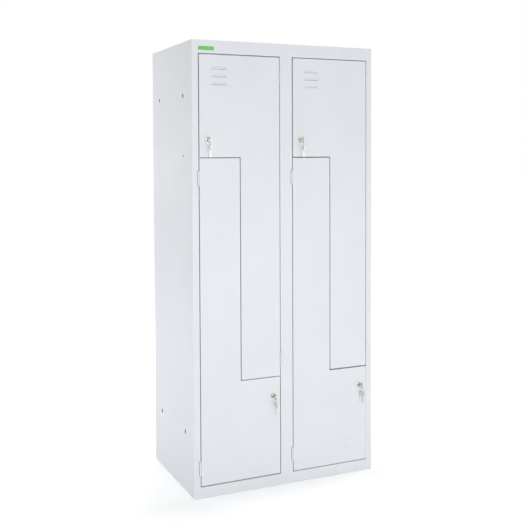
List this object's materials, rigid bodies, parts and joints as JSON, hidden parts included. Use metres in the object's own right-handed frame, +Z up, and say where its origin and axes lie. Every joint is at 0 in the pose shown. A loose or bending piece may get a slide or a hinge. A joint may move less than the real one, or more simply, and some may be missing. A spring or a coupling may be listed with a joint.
{
  "type": "z locker",
  "caption": "Tall steel cloakroom locker whose columns are each shared by a pair of interlocking L-shaped doors, with louvres, lift-off hinges, cam locks, and keys on rings.",
  "frame": {"origin": "middle of the footprint on the floor, with the keys that stand out in front counted in its depth", "axes": "+X to the right as the doors are seen, +Y to the back, +Z up"},
  "size_m": [0.81, 0.5402, 1.8],
  "materials": {
    "light_grey_paint": "semi-matt light grey powder coat",
    "inner_paint": "the same powder coat, thinner inside",
    "green_label": "glossy green, with nothing on it",
    "zinc_steel": "bright zinc plate",
    "nickel_plate": "warm nickel plate"
  },
  "bodies": {
    "cabinet": {"left_side_panel": "light_grey_paint", "right_side_panel": "light_grey_paint", "back_panel": "light_grey_paint", "top_panel": "light_grey_paint", "base_panel": "light_grey_paint", "top_rail": "light_grey_paint", "bottom_rail": "light_grey_paint", "centre_stile": "light_grey_paint", "centre_partition": "inner_paint", "label_plate": "green_label", "left_divider_high_shelf": "inner_paint", "left_divider_wall": "inner_paint", "left_divider_low_shelf": "inner_paint", "right_divider_high_shelf": "inner_paint", "right_divider_wall": "inner_paint", "right_divider_low_shelf": "inner_paint", "left_upper_coat_rail": "zinc_steel", "left_upper_bottom_hinge_frame_half": "light_grey_paint", "left_upper_top_hinge_frame_half": "light_grey_paint", "left_lower_coat_rail": "zinc_steel", "left_lower_bottom_hinge_frame_half": "light_grey_paint", "left_lower_top_hinge_frame_half": "light_grey_paint", "right_upper_coat_rail": "zinc_steel", "right_upper_bottom_hinge_frame_half": "light_grey_paint", "right_upper_top_hinge_frame_half": "light_grey_paint", "right_lower_coat_rail": "zinc_steel", "right_lower_bottom_hinge_frame_half": "light_grey_paint", "right_lower_top_hinge_frame_half": "light_grey_paint"},
    "left_upper_door": {"left_upper_door": "light_grey_paint", "left_upper_lock_barrel": "nickel_plate", "left_upper_bottom_hinge_door_half": "light_grey_paint", "left_upper_top_hinge_door_half": "light_grey_paint"},
    "left_upper_lock": {"left_upper_lock_cam": "nickel_plate"},
    "left_upper_key": {"left_upper_key": "nickel_plate"},
    "left_upper_ring": {"left_upper_key_ring": "zinc_steel"},
    "left_upper_spare_key": {"left_upper_spare_key": "nickel_plate"},
    "left_lower_door": {"left_lower_door": "light_grey_paint", "left_lower_lock_barrel": "nickel_plate", "left_lower_bottom_hinge_door_half": "light_grey_paint", "left_lower_top_hinge_door_half": "light_grey_paint"},
    "left_lower_lock": {"left_lower_lock_cam": "nickel_plate"},
    "left_lower_key": {"left_lower_key": "nickel_plate"},
    "left_lower_ring": {"left_lower_key_ring": "zinc_steel"},
    "left_lower_spare_key": {"left_lower_spare_key": "nickel_plate"},
    "right_upper_door": {"right_upper_door": "light_grey_paint", "right_upper_lock_barrel": "nickel_plate", "right_upper_bottom_hinge_door_half": "light_grey_paint", "right_upper_top_hinge_door_half": "light_grey_paint"},
    "right_upper_lock": {"right_upper_lock_cam": "nickel_plate"},
    "right_upper_key": {"right_upper_key": "nickel_plate"},
    "right_upper_ring": {"right_upper_key_ring": "zinc_steel"},
    "right_upper_spare_key": {"right_upper_spare_key": "nickel_plate"},
    "right_lower_door": {"right_lower_door": "light_grey_paint", "right_lower_lock_barrel": "nickel_plate", "right_lower_bottom_hinge_door_half": "light_grey_paint", "right_lower_top_hinge_door_half": "light_grey_paint"},
    "right_lower_lock": {"right_lower_lock_cam": "nickel_plate"},
    "right_lower_key": {"right_lower_key": "nickel_plate"},
    "right_lower_ring": {"right_lower_key_ring": "zinc_steel"},
    "right_lower_spare_key": {"right_lower_spare_key": "nickel_plate"}
  },
  "joints": [
    {"name": "left_upper_door_hinge", "type": "hinge", "parent": "cabinet", "child": "left_upper_door", "pos_m": [-0.0258, -0.2299, 0.4526], "axis": [0, 0, 1], "range_deg": [0, 95]},
    {"name": "left_upper_lock_turn", "type": "hinge", "parent": "left_upper_door", "child": "left_upper_lock", "pos_m": [-0.3398, -0.2299, 1.4135], "axis": [0, -1, 0], "range_deg": [0, 90]},
    {"name": "left_upper_key_pull", "type": "slide", "parent": "left_upper_lock", "child": "left_upper_key", "axis": [0, -1, 0], "range_m": [0, 0.025]},
    {"name": "left_upper_ring_swing", "type": "hinge", "parent": "left_upper_key", "child": "left_upper_ring", "pos_m": [-0.3398, -0.2571, 1.4135], "axis": [-1, 0, 0], "range_deg": [-8, 75]},
    {"name": "left_upper_spare_key_swing", "type": "hinge", "parent": "left_upper_ring", "child": "left_upper_spare_key", "pos_m": [-0.3398, -0.2571, 1.3911], "axis": [-0.9781, 0.2079, 0], "range_deg": [-12, 45]},
    {"name": "left_lower_door_hinge", "type": "hinge", "parent": "cabinet", "child": "left_lower_door", "pos_m": [-0.3798, -0.2299, 0.0486], "axis": [0, 0, -1], "range_deg": [0, 95]},
    {"name": "left_lower_lock_turn", "type": "hinge", "parent": "left_lower_door", "child": "left_lower_lock", "pos_m": [-0.0621, -0.2299, 0.3735], "axis": [0, 1, 0], "range_deg": [0, 90]},
    {"name": "left_lower_key_pull", "type": "slide", "parent": "left_lower_lock", "child": "left_lower_key", "axis": [0, -1, 0], "range_m": [0, 0.025]},
    {"name": "left_lower_ring_swing", "type": "hinge", "parent": "left_lower_key", "child": "left_lower_ring", "pos_m": [-0.0621, -0.2571, 0.3735], "axis": [-1, 0, 0], "range_deg": [-8, 75]},
    {"name": "left_lower_spare_key_swing", "type": "hinge", "parent": "left_lower_ring", "child": "left_lower_spare_key", "pos_m": [-0.0621, -0.2571, 0.3511], "axis": [-0.9397, -0.342, 0], "range_deg": [-12, 45]},
    {"name": "right_upper_door_hinge", "type": "hinge", "parent": "cabinet", "child": "right_upper_door", "pos_m": [0.3798, -0.2299, 0.4526], "axis": [0, 0, 1], "range_deg": [0, 95]},
    {"name": "right_upper_lock_turn", "type": "hinge", "parent": "right_upper_door", "child": "right_upper_lock", "pos_m": [0.0658, -0.2299, 1.4135], "axis": [0, -1, 0], "range_deg": [0, 90]},
    {"name": "right_upper_key_pull", "type": "slide", "parent": "right_upper_lock", "child": "right_upper_key", "axis": [0, -1, 0], "range_m": [0, 0.025]},
    {"name": "right_upper_ring_swing", "type": "hinge", "parent": "right_upper_key", "child": "right_upper_ring", "pos_m": [0.0658, -0.2571, 1.4135], "axis": [-1, 0, 0], "range_deg": [-8, 75]},
    {"name": "right_upper_spare_key_swing", "type": "hinge", "parent": "right_upper_ring", "child": "right_upper_spare_key", "pos_m": [0.0658, -0.2571, 1.3911], "axis": [-0.9703, 0.2419, 0], "range_deg": [-12, 45]},
    {"name": "right_lower_door_hinge", "type": "hinge", "parent": "cabinet", "child": "right_lower_door", "pos_m": [0.0258, -0.2299, 0.0486], "axis": [0, 0, -1], "range_deg": [0, 95]},
    {"name": "right_lower_lock_turn", "type": "hinge", "parent": "right_lower_door", "child": "right_lower_lock", "pos_m": [0.3435, -0.2299, 0.3735], "axis": [0, 1, 0], "range_deg": [0, 90]},
    {"name": "right_lower_key_pull", "type": "slide", "parent": "right_lower_lock", "child": "right_lower_key", "axis": [0, -1, 0], "range_m": [0, 0.025]},
    {"name": "right_lower_ring_swing", "type": "hinge", "parent": "right_lower_key", "child": "right_lower_ring", "pos_m": [0.3435, -0.2571, 0.3735], "axis": [-1, 0, 0], "range_deg": [-8, 75]},
    {"name": "right_lower_spare_key_swing", "type": "hinge", "parent": "right_lower_ring", "child": "right_lower_spare_key", "pos_m": [0.3435, -0.2571, 0.3511], "axis": [-0.8829, -0.4695, 0], "range_deg": [-12, 45]}
  ]
}
